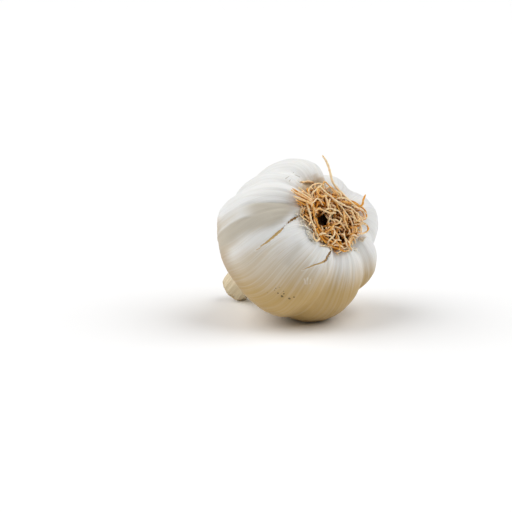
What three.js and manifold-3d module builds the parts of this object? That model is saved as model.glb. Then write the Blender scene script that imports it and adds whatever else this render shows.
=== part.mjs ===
// A garlic bulb lying on its side, with its dried roots still on. The cloves stand in a ring under one
// papery skin, which sinks into the valleys between them, and gathers round the cut neck behind. The roots
// grow from a corky plate in the hollow at the other end, and are matted into a nest. +Z is up, +X is the
// way the root end faces, and the origin is the middle of the small flat spot that the bulb lies on.
import * as THREE from "three";
import { ParametricGeometry } from "three/addons/geometries/ParametricGeometry.js";
import { mergeVertices } from "three/addons/utils/BufferGeometryUtils.js";
import Module from "manifold-3d";

const wasm = await Module();
wasm.setup();

// How the bulb lies, in degrees and millimetres.
const ROOT_END_TILT = 34; // the root end points this far above the horizontal
const MIDDLE_BEHIND_REST = 7.4; // from the flat spot back to the bulb's middle
const MIDDLE_HEIGHT = 30.8; // from the surface up to the bulb's middle

// The skin over the crests of the cloves, as radius and height on the bulb's own axis, from the middle of
// the hollow at the root end, round the widest part, to the middle of the neck's cut end.
const OUTLINE = [
  [0, -15.2],
  [7.6, -15.4],
  [10.6, -19.2],
  [16.5, -22.4],
  [24.8, -19.4],
  [31.3, -11.0],
  [33.8, -1.0],
  [32.3, 8.0],
  [26.4, 15.5],
  [19.4, 21.2],
  [12.6, 26.0],
  [8.6, 31.0],
  [6.9, 36.8],
  [6.3, 43.0],
  [4.3, 43.7],
  [0, 44.2],
];
const SKIN_ROUND = 96; // faces round the bulb
const SKIN_ALONG = 38; // faces from the root end to the neck

// The valleys between the cloves, going round from the bulb's upper side: the bearing at the root end, the
// bearing from the widest part on, how deep the skin sinks, the share of the outline where it is taut
// again, and how much fuller than the outline the clove after it is.
const VALLEYS = [
  { near: 31, far: 34, depth: 5.6, taut: 0.8, fuller: -1.3 },
  { near: 63, far: 66, depth: 2.9, taut: 0.8, fuller: 2.4 },
  { near: 118, far: 120, depth: 4.0, taut: 0.8, fuller: 0.2 },
  { near: 152, far: 152, depth: 4.0, taut: 0.8, fuller: 0.0 },
  { near: 203, far: 206, depth: 2.6, taut: 0.62, fuller: 0.4 },
  { near: 236, far: 240, depth: 1.1, taut: 0.5, fuller: 0.6 },
  { near: 287, far: 260, depth: 1.7, taut: 0.42, fuller: 0.8 },
  { near: 301, far: 286, depth: 3.0, taut: 0.36, fuller: 1.4 },
  { near: 329, far: 319, depth: 3.0, taut: 0.8, fuller: -2.5 },
  { near: 352, far: 348, depth: 4.0, taut: 0.8, fuller: 0.0 },
];
const CREST_POWER = 2; // 2 is a round crest, and more is a flatter one
const VALLEY_ROUNDING = 2; // degrees each side over which the skin rounds a valley off

// Where along the outline things change, each as the share where it starts and the share that it takes.
const CLOVES_RISE = [0.09, 0.13]; // the cloves stand up round the root plate
const CLOVES_SINK = [0.41, 0.32]; // and their tops run out below the neck
const BEARING_SHIFTS = [0.12, 0.3];
const SKIN_TAUTENS_OVER = 0.22;
const PLEATS_RISE = [0.6, 0.15];
const PLEATS_END = [0.9, 0.06];

// The neck: the dried leaf bases, gathered in uneven pleats, which lean towards the surface. Each set of
// pleats is how many there are, how deep, and the bearing of one of them.
const NECK_LEAN = 2.35;
const NECK_LEAN_FROM = 26;
const NECK_LEAN_OVER = 20;
const NECK_PLEATS = [
  { count: 3, depth: 0.28, from: 80 },
  { count: 7, depth: 0.15, from: 20 },
  { count: 11, depth: 0.1, from: 5 },
];
const NECK_PLEAT_TURN = 24; // degrees that they turn over the whole outline

// Two splits in the outer skin, each running from the root plate down between the cloves: its line, as
// bearing and share of the outline, and its width where it is widest. It is half as deep as it is wide.
const SPLITS = [
  {
    path: [[286, 0.19], [279.5, 0.222], [274, 0.257], [270, 0.281], [267, 0.313], [265.5, 0.346]],
    width: 1.4,
  },
  {
    path: [[216, 0.205], [218.5, 0.225], [221, 0.241], [227, 0.259], [233, 0.291]],
    width: 1.4,
  },
];
const SPLIT_SIDES = 6;
const SPLIT_STEPS = 12;
const SPLIT_TIP = 0.25; // of its full width

// The corky plate that the roots grow from, the low ring of matted roots over its rim, and the gap round
// them. The plate's section and the ring's are radius and height on the bulb's own axis.
const PLATE_RADIUS = 6.9;
const PLATE_FACE = -17.6;
const PLATE_SECTION = [
  [0, PLATE_FACE],
  [4.1, -17.5],
  [PLATE_RADIUS, -16.8],
  [PLATE_RADIUS, -15.9],
  [0, -15.9],
];
const MAT_SECTION = [
  [3.4, -17.2],
  [4.0, -19.1],
  [6.1, -20.7],
  [8.6, -21.6],
  [9.5, -20.7],
  [7.0, -18.4],
  [6.2, -17.2],
  [3.4, -17.2],
];
const PLATE_SIDES = 24;
const GAP = 0.3;

// The roots: true thickness, and fewer than on the real bulb.
const ROOTS = 52;
const ROOT_RADIUS = 0.52;
const ROOT_STEPS = 6;
const STRAY_STEPS = 12;
const ROOT_SIDES = 3;
const BARE_MIDDLE = 1.4; // no root grows nearer to the plate's middle
const NEST_RADIUS = 13.8;
const NEST_HEIGHT = 9.6;
const NEST_LIES_TO = 250; // the bearing on which the nest is wider and lower
const NEST_WIDER = 0.16;
const NEST_LOWER = 0.15;
const ROOT_TIP = 0.6; // of its full thickness
const THINS_FROM = 0.6; // share of a root's or a split's length where it starts to get thinner
const SEED = 11;

const radians = THREE.MathUtils.degToRad;
const lie = new THREE.Matrix4()
  .makeRotationY(-radians(90 + ROOT_END_TILT))
  .setPosition(-MIDDLE_BEHIND_REST, 0, MIDDLE_HEIGHT);

// A smooth step from 0 to 1 over a stretch of the outline, and the shortest way round from one bearing to
// another.
const stepUp = (along, [from, over]) => THREE.MathUtils.smoothstep(along, from, from + over);
const turn = (from, to) => ((((to - from + 180) % 360) + 360) % 360) - 180;

// The bearing of a valley, and the skin's level in it, at a share of the outline.
function valleyAt(i, along) {
  const valley = VALLEYS[i % VALLEYS.length];
  const before = VALLEYS[(i + VALLEYS.length - 1) % VALLEYS.length];
  const tautens = [valley.taut - SKIN_TAUTENS_OVER, SKIN_TAUTENS_OVER];
  const sunk = valley.depth * (1 - stepUp(along, tautens));
  return {
    bearing: valley.near + turn(valley.near, valley.far) * stepUp(along, BEARING_SHIFTS),
    level: (valley.fuller + before.fuller) / 2 - sunk,
  };
}

// How far the skin stands out from the outline at one bearing: an arch over each clove, down to the valleys
// beside it.
function archAt(bearing, along) {
  for (let i = 0; i < VALLEYS.length; i++) {
    const left = valleyAt(i, along);
    const right = valleyAt(i + 1, along);
    const width = (right.bearing - left.bearing + 360) % 360;
    const x = ((((bearing - left.bearing) % 360) + 360) % 360) / width;
    if (x > 1) continue;
    const arch = 1 - Math.abs(2 * x - 1) ** CREST_POWER;
    const floor = THREE.MathUtils.lerp(left.level, right.level, x);
    return THREE.MathUtils.lerp(floor, VALLEYS[i].fuller, arch);
  }
  return 0;
}

// The same with the valleys rounded off, dying away at the root plate and on the neck, where pleats take
// over.
function reliefAt(bearing, along) {
  const turns = [-1, -0.5, 0, 0.5, 1].map((n) => n * VALLEY_ROUNDING);
  const cloves = turns.reduce((sum, t) => sum + archAt(bearing + t, along), 0) / turns.length;
  const overCloves = stepUp(along, CLOVES_RISE) * (1 - stepUp(along, CLOVES_SINK));
  const onNeck = stepUp(along, PLEATS_RISE) * (1 - stepUp(along, PLEATS_END));
  const turned = bearing + NECK_PLEAT_TURN * along;
  const pleats = NECK_PLEATS.reduce((sum, p) => sum + p.depth * Math.cos(radians(p.count * (turned - p.from))), 0);
  return cloves * overCloves + pleats * onNeck;
}

// A point of the skin in the bulb's own frame, root end down, grown outwards by a margin.
const outline = new THREE.SplineCurve(OUTLINE.map(([r, z]) => new THREE.Vector2(r, z)));
function skinPoint(bearing, along, margin, target = new THREE.Vector3()) {
  const at = outline.getPoint(along);
  const way = outline.getTangent(THREE.MathUtils.clamp(along, 0.002, 0.998));
  const out = reliefAt(bearing, along) + margin;
  const onAxis = along <= 0 || along >= 1;
  const radius = onAxis ? 0 : Math.max(0, at.x + way.y * out);
  const height = at.y - way.x * out;
  const lean = NECK_LEAN * Math.max(0, (height - NECK_LEAN_FROM) / NECK_LEAN_OVER) ** 2;
  const a = radians(bearing);
  return target.set(radius * Math.cos(a) - lean, radius * Math.sin(a), height);
}

// A closed three.js geometry as a solid, and back.
function solid(geometry) {
  const bare = new THREE.BufferGeometry();
  bare.setAttribute("position", geometry.getAttribute("position"));
  bare.setIndex(geometry.index);
  const merged = mergeVertices(bare, 1e-4);
  const index = merged.index.array;
  const triVerts = [];
  for (let i = 0; i < index.length; i += 3) {
    const [a, b, c] = [index[i], index[i + 1], index[i + 2]];
    if (a !== b && b !== c && c !== a) triVerts.push(a, b, c);
  }
  const made = new wasm.Manifold(
    new wasm.Mesh({
      numProp: 3,
      vertProperties: merged.attributes.position.array,
      triVerts: new Uint32Array(triVerts),
    }),
  );
  return made;
}

function geometryOf(made) {
  const { vertProperties, triVerts } = made.getMesh();
  const geometry = new THREE.BufferGeometry();
  geometry.setAttribute("position", new THREE.BufferAttribute(vertProperties, 3));
  geometry.setIndex(new THREE.BufferAttribute(triVerts, 1));
  geometry.computeVertexNormals();
  return geometry;
}

// The whole skin as one closed surface, grown by a margin, and laid on its side.
function skin(margin, around, along) {
  const surface = new ParametricGeometry(
    (u, v, target) => skinPoint(360 * (u % 1), v, margin, target),
    around,
    along,
  );
  return solid(surface.applyMatrix4(lie));
}

// A rod along a curve that gets thinner towards its far end.
function taperedRod(curve, radius, sides, steps, tip) {
  const frames = curve.computeFrenetFrames(steps);
  const positions = [];
  for (let i = 0; i <= steps; i++) {
    const middle = curve.getPointAt(i / steps);
    const thins = Math.max(0, (i / steps - THINS_FROM) / (1 - THINS_FROM));
    const thick = radius * THREE.MathUtils.lerp(1, tip, thins);
    for (let k = 0; k < sides; k++) {
      const a = (2 * Math.PI * k) / sides;
      const point = middle
        .clone()
        .addScaledVector(frames.normals[i], thick * Math.cos(a))
        .addScaledVector(frames.binormals[i], thick * Math.sin(a));
      positions.push(...point.toArray());
    }
  }
  const index = [];
  for (let i = 0; i < steps; i++) {
    for (let k = 0; k < sides; k++) {
      const [a, b] = [i * sides + k, i * sides + ((k + 1) % sides)];
      index.push(a, b, b + sides, a, b + sides, a + sides);
    }
  }
  const last = steps * sides;
  for (let k = 1; k < sides - 1; k++) {
    index.push(0, k + 1, k, last, last + k, last + k + 1);
  }
  const geometry = new THREE.BufferGeometry();
  geometry.setAttribute("position", new THREE.Float32BufferAttribute(positions, 3));
  geometry.setIndex(index);
  return geometry;
}

// Random numbers that are the same each run.
function seeded(seed) {
  let state = seed;
  return () => {
    state = (state * 1664525 + 1013904223) % 4294967296;
    return state / 4294967296;
  };
}

// A point of the nest: distance from the axis, bearing in degrees, and height above the plate's face.
function nestPoint(radius, bearing, height) {
  const a = radians(bearing);
  return new THREE.Vector3(radius * Math.cos(a), radius * Math.sin(a), PLATE_FACE - height);
}

// Every root's line: up from the plate, out over the ends of the cloves, then curling round and back into
// the nest.
function rootLines() {
  const random = seeded(SEED);
  const between = (low, high) => low + (high - low) * random();
  const lines = [];
  for (let k = 0; k < ROOTS; k++) {
    const start = BARE_MIDDLE + (PLATE_RADIUS - 0.9 - BARE_MIDDLE) * Math.sqrt((k + 0.5) / ROOTS);
    const bearing = k * 137.5 + between(-8, 8);
    const curl = between(-34, 34);
    const leans = Math.cos(radians(bearing + curl - NEST_LIES_TO));
    const reach = Math.max(start + 2.5, NEST_RADIUS * (1 + NEST_WIDER * leans) * between(0.34, 1.05));
    const rise = NEST_HEIGHT * (1 - NEST_LOWER * leans) * between(0.7, 1.08);
    lines.push([
      nestPoint(start, bearing, -1.2),
      nestPoint((start + reach) * 0.48, bearing + 0.4 * curl, rise * 0.66),
      nestPoint(reach * 0.94, bearing + curl, rise * between(0.82, 0.95)),
      nestPoint(reach * between(0.8, 1.0), bearing + 2 * curl, rise),
      nestPoint(reach * between(0.5, 0.95), bearing + 2.9 * curl, rise * between(0.72, 1.0)),
    ]);
  }
  return lines;
}

// Roots that stand out of the nest: one long root above it, a short one beside it, a few that lie together
// over its rim, and two that loop out and back. Each point is a distance from the axis, a bearing, and a
// height above the plate's face.
const STRAYS = [
  [
    [5.4, 112, -1], [8.4, 104, 5.4], [10.4, 84, 7.8], [9.6, 54, 8.2], [10.9, 27, 8.6], [12.9, 14.5, 9.4],
    [16.1, 12.3, 10.0], [19.2, 11.7, 10.2], [21.9, 10.3, 10.2], [23.9, 7.9, 10.2],
  ],
  [[5.8, 82, -1], [9.5, 85, 6.0], [13.9, 86.9, 8.6], [15.9, 80.3, 9.2], [18.6, 75.9, 9.4]],
  [[5.6, 306, -1], [9.0, 308, 6.4], [12.8, 307, 8.2], [18.2, 302, 8.2], [22.6, 303, 7.6]],
  [[5.2, 314, -1], [9.5, 311, 6.6], [14.5, 306, 8.6], [20.4, 300, 7.6]],
  [[5.8, 60, -1], [10.6, 67, 7.0], [14.3, 91, 8.2], [15.2, 101, 8.2], [14.0, 110, 7.8], [10.6, 106, 7.2]],
  [[5.8, 116, -1], [11.0, 118, 6.8], [15.0, 120, 7.6], [15.4, 129, 7.4], [12.6, 141, 7.0]],
];

// The plate, and the low ring over its rim that the free roots stand out of.
function plateAndMat() {
  const [plate, mat] = [PLATE_SECTION, MAT_SECTION].map((section) => {
    const points = section.map(([r, z]) => new THREE.Vector2(r, z));
    return solid(new THREE.LatheGeometry(points, PLATE_SIDES).rotateX(Math.PI / 2).applyMatrix4(lie));
  });
  return plate.add(mat);
}

function rootTuft(clearance) {
  let tuft = plateAndMat();
  const matted = rootLines().map((points) => [points, ROOT_STEPS]);
  const strays = STRAYS.map((points) => [points.map((p) => nestPoint(...p)), STRAY_STEPS]);
  for (const [points, steps] of [...matted, ...strays]) {
    const curve = new THREE.CatmullRomCurve3(points);
    const rod = taperedRod(curve, ROOT_RADIUS, ROOT_SIDES, steps, ROOT_TIP);
    tuft = tuft.add(solid(rod.applyMatrix4(lie)));
  }
  const pieces = tuft.subtract(clearance).decompose();
  return pieces.sort((a, b) => b.volume() - a.volume())[0];
}

// A split in the skin: a groove that is wide and deep at the root end, and runs out to a point.
function split({ path, width }) {
  const points = path.map(([bearing, along]) => skinPoint(bearing, along, 0));
  const line = new THREE.CatmullRomCurve3(points);
  const groove = taperedRod(line, width / 2, SPLIT_SIDES, SPLIT_STEPS, SPLIT_TIP);
  return solid(groove.applyMatrix4(lie));
}

// What the bulb lies on, which flattens its belly to a small spot and just meets the neck's end.
const surfaceBelow = solid(new THREE.BoxGeometry(200, 200, 20).translate(0, 0, -10));
let bulb = skin(0, SKIN_ROUND, SKIN_ALONG).subtract(surfaceBelow);
for (const one of SPLITS) bulb = bulb.subtract(split(one));

const garlic = new THREE.Group();
const papery = new THREE.MeshStandardMaterial({ color: 0xe9e4d8, roughness: 0.55, metalness: 0 });
const dried = new THREE.MeshStandardMaterial({ color: 0xb98a4e, roughness: 0.8, metalness: 0 });
const bulbMesh = new THREE.Mesh(geometryOf(bulb), papery);
bulbMesh.name = "bulb";
const tuftMesh = new THREE.Mesh(geometryOf(rootTuft(skin(GAP, SKIN_ROUND, SKIN_ALONG))), dried);
tuftMesh.name = "root_tuft";
garlic.add(bulbMesh, tuftMesh);

export default garlic;
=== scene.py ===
"""A garlic bulb lying on its side: papery skin over a ring of cloves, a cut neck, and dried roots."""
import math

import bpy
import numpy as np
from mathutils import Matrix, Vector


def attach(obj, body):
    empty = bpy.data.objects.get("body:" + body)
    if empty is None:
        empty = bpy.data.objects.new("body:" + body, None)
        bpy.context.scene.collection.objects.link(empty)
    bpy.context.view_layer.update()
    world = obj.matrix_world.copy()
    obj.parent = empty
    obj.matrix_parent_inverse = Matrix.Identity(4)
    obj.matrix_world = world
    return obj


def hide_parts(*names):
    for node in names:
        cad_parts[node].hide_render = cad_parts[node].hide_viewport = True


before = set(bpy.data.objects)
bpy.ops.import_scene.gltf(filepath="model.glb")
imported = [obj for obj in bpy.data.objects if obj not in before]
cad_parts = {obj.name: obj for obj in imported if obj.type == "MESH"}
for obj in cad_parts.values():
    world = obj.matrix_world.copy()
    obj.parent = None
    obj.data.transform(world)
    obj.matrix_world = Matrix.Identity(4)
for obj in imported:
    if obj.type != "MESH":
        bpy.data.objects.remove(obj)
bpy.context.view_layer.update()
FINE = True

# The papery skin
# The outermost dry leaves of the bulb, grown as one closed wrap. It clings to the ring of cloves, sinks
# between them, splits along two lines, and gathers into the neck. Sizes are in millimetres, in the bulb's
# own frame: its axis is the third coordinate, root end down, and bearings start from the upper side.
ROOT_END_TILT = 34.0  # degrees above the horizontal, as the bulb lies
MIDDLE = np.array([-7.4, 0.0, 30.8])  # where its frame's origin is then
OUTLINE = np.array([
    [0, -15.2], [7.6, -15.4], [10.6, -19.2], [16.5, -22.4], [24.8, -19.4], [31.3, -11.0],
    [33.8, -1.0], [32.3, 8.0], [26.4, 15.5], [19.4, 21.2], [12.6, 26.0], [8.6, 31.0],
    [6.9, 36.8], [6.3, 43.0], [5.3, 42.8], [0, 41.6],
])
# bearing at the root end, bearing from the widest part on, depth, share of the outline where it is taut
# again, and how much fuller than the outline the clove after it is
VALLEYS = [
    (31, 34, 5.6, 0.8, -1.3), (63, 66, 2.9, 0.8, 2.4), (118, 120, 4.0, 0.8, 0.2),
    (152, 152, 4.0, 0.8, 0.0), (203, 206, 2.6, 0.62, 0.4), (236, 240, 1.1, 0.5, 0.6),
    (287, 260, 1.7, 0.42, 0.8), (301, 286, 3.0, 0.36, 1.4), (329, 319, 3.0, 0.8, -2.5),
    (352, 348, 4.0, 0.8, 0.0),
]
CREST_POWER = 2.0
NECK_LEAN = 2.35  # how far the neck leans aside at its end
LEANS_FROM, LEANS_OVER = 26, 20  # from this height on, over so much
NECK_PLEATS = [(3, 0.28, 80), (7, 0.15, 20), (11, 0.10, 5)]  # how many go round, how deep, bearing of one
NECK_PLEAT_TURN = 24  # degrees that they turn over the whole outline
NECK_WRINKLE_DEPTH = 0.07
SOFTENED_OVER = (-3.5, -1.75, 0, 1.75, 3.5)  # degrees over which the arches are averaged
# creases pressed into the skin: (bearing, share of the outline) along each, then width, depth and how grey
# the painted shade in it is
CREASES = [
    ([(301, 0.205), (297.5, 0.224), (296.5, 0.25), (296.5, 0.28), (298, 0.32), (298, 0.37), (298, 0.43)],
     0.50, 0.36, 0.22),
    ([(302, 0.277), (303, 0.302), (304.5, 0.336), (304.5, 0.361), (303.5, 0.386), (302, 0.41)],
     0.40, 0.07, 0.14),
    ([(217, 0.225), (214.5, 0.247), (212, 0.262), (210, 0.29)], 0.50, 0.30, 0.30),
    ([(352, 0.20), (349, 0.24), (346, 0.30)], 0.6, 0.2, 0.10),
    ([(244, 0.312), (247, 0.292), (250, 0.262), (252, 0.24)], 1.7, 0.30, 0.34),
]
# short wrinkles, each a grey line of painted shade with a white rim of painted highlight, and pressed in by
# the bump: where each begins and ends, as (bearing, share of the outline), and half its width
WRINKLES = [
    ((227.5, 0.304), (224.5, 0.311), 0.20), ((226.0, 0.298), (223.5, 0.310), 0.20),
    ((223.5, 0.297), (222.0, 0.305), 0.18), ((345.0, 0.276), (353.0, 0.276), 0.28),
    ((351.5, 0.263), (353.0, 0.243), 0.26), ((332.5, 0.249), (335.5, 0.249), 0.24),
    ((333.5, 0.264), (339.0, 0.262), 0.28), ((340.5, 0.230), (340.5, 0.212), 0.26),
]
# where the skin is sunk below a crease and painted greyer, partly the thin skin there and partly painted
# shade in the hollow: its lower and upper bearing at shares of the outline
SUNK_SHARES = [0.235, 0.264, 0.289, 0.318, 0.347, 0.376, 0.403, 0.439]
SUNK_LOWER = [283, 276.5, 275, 276, 277, 277.5, 277, 277.5]
SUNK_UPPER = [297.2, 296.5, 296.8, 298, 298, 298, 298, 297.5]
# a fold across it, on these bearings at shares of the outline: past it the skin stands out, and is paler with
# a painted highlight along its lip and less painted shade
FOLD_SHARES = [0.307, 0.345, 0.454, 0.49]
FOLD_BEARINGS = [286.5, 289, 289, 290]
FOLD_HEIGHT = 0.42
# how far from the root end the skin is painted tan, as a share of the outline, at some bearings: real
# browning round the roots, and painted warm shade under the roots and flakes
BROWNED_BEARINGS = [60, 130, 215, 245, 290, 350]
BROWNED_SHARES = [0.190, 0.168, 0.168, 0.212, 0.215, 0.228]
PALE_STREAK = 272  # bearing of a painted highlight on the crest below the sunk skin
# splits in the skin: (bearing, share) along each, then half its width at each of those points
SPLITS = [
    (
        [(286, 0.186), (282, 0.2013), (278.5, 0.2265), (276.5, 0.2416), (273.5, 0.2592), (271.5, 0.2693),
         (270.0, 0.2806), (268.5, 0.2957), (267.0, 0.3133), (266.3, 0.331), (265.5, 0.352)],
        [0.08, 0.16, 0.50, 0.34, 0.06, 0.30, 0.52, 0.50, 0.40, 0.30, 0.12],
    ),
    (
        [(214.5, 0.196), (216.5, 0.2076), (218.5, 0.2239), (219.5, 0.2365), (224.0, 0.2504), (228.0, 0.263),
         (231.0, 0.2768), (233.5, 0.292)],
        [0.24, 0.50, 0.58, 0.46, 0.34, 0.28, 0.24, 0.12],
    ),
]
SPLIT_DEPTHS = (0.50, 0.12)  # where it is torn through, and farther on, where it only gapes
LIP_HEIGHT = 0.20
LIP_WIDTH = 0.5
RIDGES_ROUND = (34, 130)  # fine lengthwise ridges, in waves round the bulb
RIDGE_HEIGHT = 0.035
DENT_DEPTH = 0.30
# the streaks in the skin run lengthwise, in a pattern laid out on a cylinder of this size
GRAIN_RADIUS = 34
GRAIN_LENGTH = 135
SKIN_ROUND = 420 if FINE else 260
SKIN_ALONG = 236 if FINE else 150


def smooth_step(x, start, over):
    """0 before start, 1 after start + over, and smooth between."""
    x = np.clip((x - start) / over, 0, 1)
    return x * x * (3 - 2 * x)


def window(x, start, over, end, over_end):
    """1 between start + over and end, 0 before and after, and smooth between."""
    return smooth_step(x, start, over) * (1 - smooth_step(x, end, over_end))


def catmull(points, where):
    """Points on a smooth curve through the given ones, at shares of its length from 0 to 1."""
    points = np.asarray(points, float)
    t = np.clip(where, 0, 1) * (len(points) - 1)
    i = np.minimum(t.astype(int), len(points) - 2)
    f = (t - i)[..., None]
    a, b = points[np.maximum(i - 1, 0)], points[i]
    c, d = points[i + 1], points[np.minimum(i + 2, len(points) - 1)]
    return 0.5 * (2 * b + (c - a) * f + (2 * a - 5 * b + 4 * c - d) * f**2 + (3 * b - a - 3 * c + d) * f**3)


def valley(i, along):
    """Bearing of a valley, and the skin's level in it."""
    near, far, depth, taut, fuller = VALLEYS[i % len(VALLEYS)]
    before = VALLEYS[(i - 1) % len(VALLEYS)][4]
    bearing = near + ((far - near + 180) % 360 - 180) * smooth_step(along, 0.12, 0.3)
    return bearing, (fuller + before) / 2 - depth * (1 - smooth_step(along, taut - 0.22, 0.22))


def arch(bearing, along):
    """How far the skin stands out from the outline: an arch over each clove between its two valleys."""
    out = np.zeros_like(along)
    for i, row in enumerate(VALLEYS):
        left, left_level = valley(i, along)
        right, right_level = valley(i + 1, along)
        x = ((bearing - left) % 360) / ((right - left) % 360)
        crown = np.clip(1 - np.abs(2 * x - 1) ** CREST_POWER, 0, 1)
        floor = left_level * (1 - x) + right_level * x
        out = np.where(x <= 1, floor * (1 - crown) + row[4] * crown, out)
    return out


def neck_lean(height):
    """How far the neck leans aside at a height."""
    return NECK_LEAN * np.clip((height - LEANS_FROM) / LEANS_OVER, 0, None) ** 2


def neck_pleats(bearing, along):
    """How far the neck stands out for its pleats."""
    turned = bearing + NECK_PLEAT_TURN * along
    return sum(depth * np.cos(np.radians(count * (turned - one))) for count, depth, one in NECK_PLEATS)


def skin_form(bearing, along, margin=0.0, relief=None):
    """The skin's surface in the bulb's frame, grown outwards by a margin, with any finer relief added."""
    cloves = sum(arch(bearing + turn, along) for turn in SOFTENED_OVER) / len(SOFTENED_OVER)
    cloves = cloves * window(along, 0.09, 0.13, 0.41, 0.32)
    pleats = neck_pleats(bearing, along) * window(along, 0.6, 0.15, 0.9, 0.06)
    at = catmull(OUTLINE, along)
    within = np.clip(along, 0.002, 0.998)
    way = catmull(OUTLINE, within + 1e-3) - catmull(OUTLINE, within - 1e-3)
    way = way / np.linalg.norm(way, axis=-1, keepdims=True)
    out = cloves + pleats + margin + (0 if relief is None else relief)
    radius = np.where((along <= 0) | (along >= 1), 0, np.maximum(at[..., 0] + way[..., 1] * out, 0))
    height = at[..., 1] - way[..., 0] * out
    angle = np.radians(bearing)
    return np.stack([radius * np.cos(angle) - neck_lean(height), radius * np.sin(angle), height], -1)


def laid(points):
    """Points of the bulb's frame, laid on its side, in metres."""
    tilt = math.radians(ROOT_END_TILT)
    points = np.asarray(points, float)
    upper = np.array([-math.sin(tilt), 0, math.cos(tilt)])
    neckward = np.array([-math.cos(tilt), 0, -math.sin(tilt)])
    across = np.array([0, 1, 0])
    world = points[..., :1] * upper + points[..., 1:2] * across + points[..., 2:3] * neckward + MIDDLE
    return world / 1000


def laid_above(points):
    """Points laid on the bulb's side like that, and none of them below the surface it lies on."""
    world = laid(points)
    world[:, 2] = np.maximum(world[:, 2], 0.0)
    return world


def wavy(values, low, high, seed, count=26):
    """Sum of sine waves round the bulb, of random pitch and phase, with a mean square of one half."""
    draw = np.random.default_rng(seed)
    pitches = draw.integers(low, high, count)
    phases = draw.uniform(0, 2 * np.pi, count)
    return sum(np.sin(np.radians(values * k) + p) for k, p in zip(pitches, phases)) / math.sqrt(count)


def lumpy(points, pitch, seed, count=14):
    """Soft random lumps in space, from plane waves of about the given pitch."""
    draw = np.random.default_rng(seed)
    ways = draw.normal(size=(count, 3))
    lengths = np.linalg.norm(ways, axis=1, keepdims=True)
    ways *= (2 * np.pi / pitch) * draw.uniform(0.6, 1.5, (count, 1)) / lengths
    phases = draw.uniform(0, 2 * np.pi, count)
    return sum(np.sin(points @ w + p) for w, p in zip(ways, phases)) / math.sqrt(count)


def near_line(points, line, steps=60):
    """For each point: distance to a smooth line, share of the line's length there, and the nearest point."""
    route = catmull(line, np.linspace(0, 1, steps))
    best = np.full(len(points), 1e9)
    share = np.zeros(len(points))
    nearest = np.zeros_like(points)
    for i in range(steps - 1):
        a, b = route[i], route[i + 1]
        f = np.clip((points - a) @ (b - a) / max((b - a) @ (b - a), 1e-12), 0, 1)
        on = a + f[:, None] * (b - a)
        d = np.linalg.norm(points - on, axis=1)
        closer = d < best
        best[closer] = d[closer]
        share[closer] = ((i + f) / (steps - 1))[closer]
        nearest[closer] = on[closer]
    return best, share, nearest


def on_skin(pairs, margin=0.0):
    """Points of the skin at (bearing, share) pairs."""
    pairs = np.asarray(pairs, float)
    return skin_form(pairs[:, 0], pairs[:, 1], margin)


def polar(radius, degrees, height):
    angle = math.radians(degrees)
    return np.array([radius * math.cos(angle), radius * math.sin(angle), height])


def placed(name, data):
    """A new object in the scene."""
    thing = bpy.data.objects.new(name, data)
    bpy.context.scene.collection.objects.link(thing)
    return thing


def mesh_piece(name, points, faces, material, masks=None):
    """A smooth mesh object in metres, with named values on its points."""
    mesh = bpy.data.meshes.new(name)
    mesh.from_pydata(points.tolist(), [], faces)
    for mask, values in (masks or {}).items():
        values = np.asarray(values, np.float32)
        kind = "FLOAT_VECTOR" if values.ndim == 2 else "FLOAT"
        field = "vector" if values.ndim == 2 else "value"
        mesh.attributes.new(mask, kind, "POINT").data.foreach_set(field, values.ravel())
    mesh.shade_smooth()
    mesh.materials.append(material)
    return placed(name, mesh)


def bands(first, rings, around, closed=False):
    """Faces between rings of points, from the first ring to the last, and on to the first again if closed."""
    faces = []
    for i in range(rings if closed else rings - 1):
        a, b = first + i * around, first + (i + 1) % rings * around
        faces += [(a + j, a + (j + 1) % around, b + (j + 1) % around, b + j) for j in range(around)]
    return faces


def closed_grid(rows, columns):
    """Faces of a surface closed round and at both poles: a point, then rows - 2 rings, then a point."""
    faces = [(0, 1 + (j + 1) % columns, 1 + j) for j in range(columns)]
    faces += bands(1, rows - 2, columns)
    a = 1 + (rows - 3) * columns
    last = a + columns
    faces += [(last, a + j, a + (j + 1) % columns) for j in range(columns)]
    return faces


def closer_rows(rows):
    """Shares of the outline, closest together where the skin shows most: the root end's half."""
    spread = np.linspace(0, 1, 2001)
    closeness = 1.0 + 1.5 * window(spread, 0.11, 0.04, 0.42, 0.08)
    total = np.concatenate([[0], np.cumsum((closeness[1:] + closeness[:-1]) / 2)])
    return np.interp(np.linspace(0, 1, rows), total / total[-1], spread)


def fine_relief(bearing, along, winding, plain):
    """Lengthwise ridges, puckers at the root end, soft dents, and wrinkles on the neck."""
    radius = np.hypot(plain[:, 0], plain[:, 1])
    ridges = wavy(winding, *RIDGES_ROUND, seed=3) * RIDGE_HEIGHT * np.clip(radius / 26, 0.25, 1)
    puckers = wavy(winding, 26, 70, seed=8) * 0.08 * window(along, 0.15, 0.06, 0.24, 0.12)
    dents = lumpy(plain, 26, seed=5) * DENT_DEPTH + lumpy(plain, 9, seed=6) * 0.07
    neck = window(along, 0.52, 0.2, 0.9, 0.04)
    wrinkles = wavy(bearing + 30 * along, 10, 46, seed=12) * NECK_WRINKLE_DEPTH * neck
    return (ridges + puckers + dents) * window(along, 0.14, 0.08, 0.9, 0.04) * (1 - 0.7 * neck) + wrinkles


def press_creases(plain, relief):
    """Presses the creases into the relief, and gives how much painted shade greys each point for them."""
    crease_shade = np.zeros(len(plain))
    for line, width, depth, grey in CREASES:
        distance, share, _ = near_line(plain, on_skin(line))
        groove = np.exp(-((distance / width) ** 2)) * window(share, 0.0, 0.2, 0.65, 0.35)
        relief -= depth * groove
        crease_shade = np.maximum(crease_shade, groove * grey)
    return crease_shade


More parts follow.
